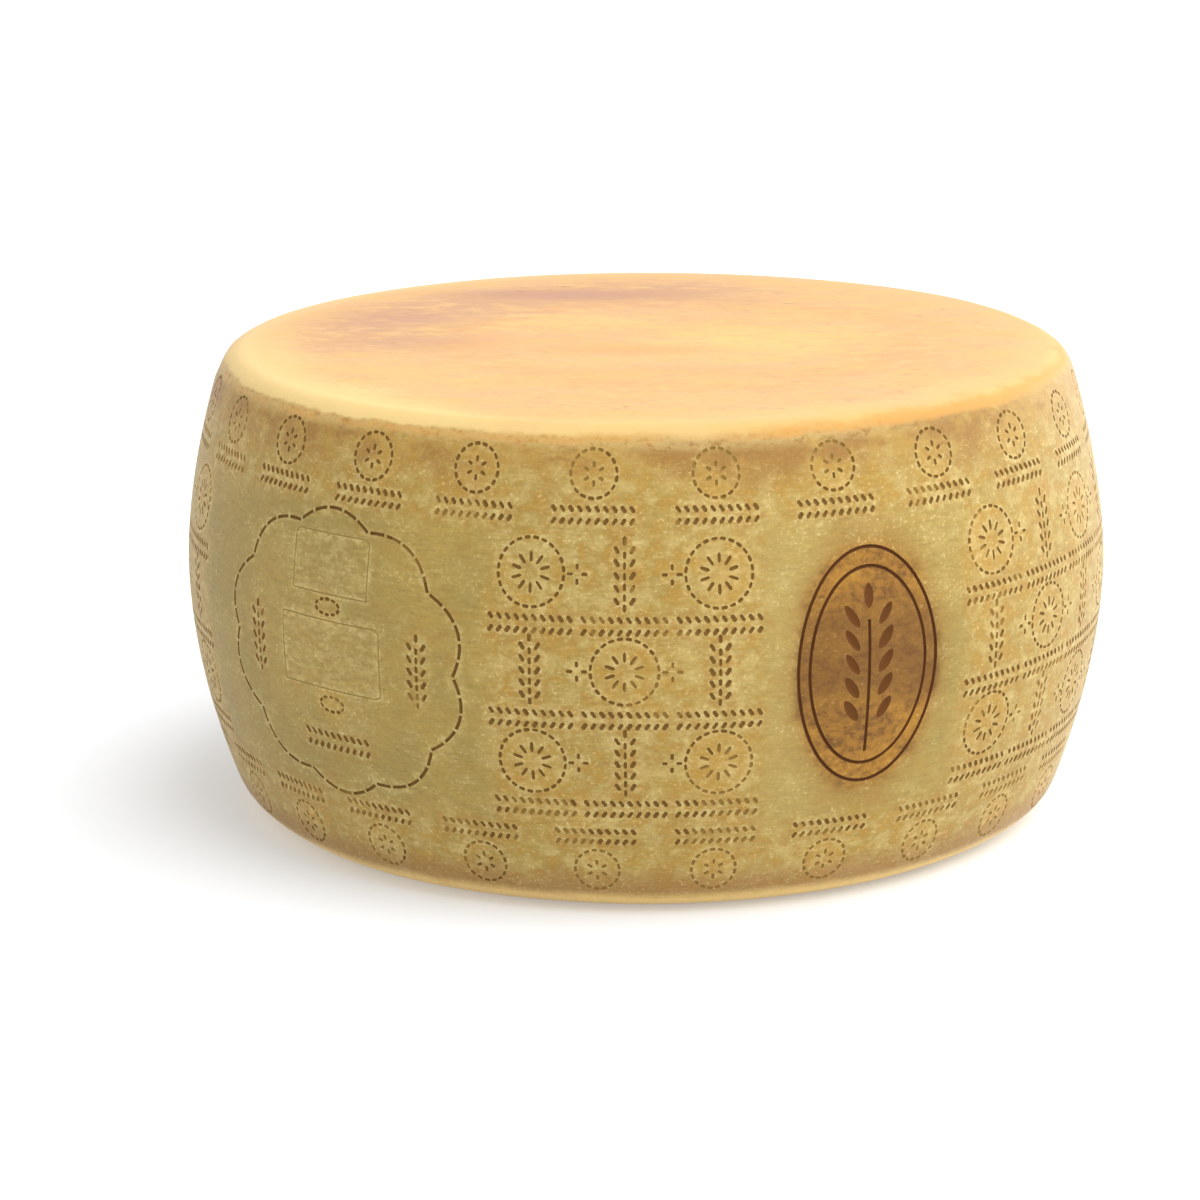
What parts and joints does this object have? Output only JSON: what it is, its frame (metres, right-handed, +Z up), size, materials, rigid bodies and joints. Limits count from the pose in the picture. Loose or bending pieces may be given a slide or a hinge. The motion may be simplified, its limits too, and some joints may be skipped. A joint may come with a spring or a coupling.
{
  "type": "whole cheese wheel",
  "caption": "Whole wheel of hard aged cheese: a low barrel with flat faces, rounded edges and shallow dashed marks and burnt ovals pressed into its rind.",
  "frame": {"origin": "centre of the flat lower face", "axes": "+Z up, from the lower face to the upper one; the front of the picture faces -Y, with +X to the right"},
  "size_m": [0.4288, 0.4294, 0.215],
  "materials": {
    "rind": "smooth, dry and slightly waxy, golden yellow with browned bands near the edges"
  },
  "bodies": {
    "root": {"cheese_wheel": "rind"}
  },
  "joints": []
}
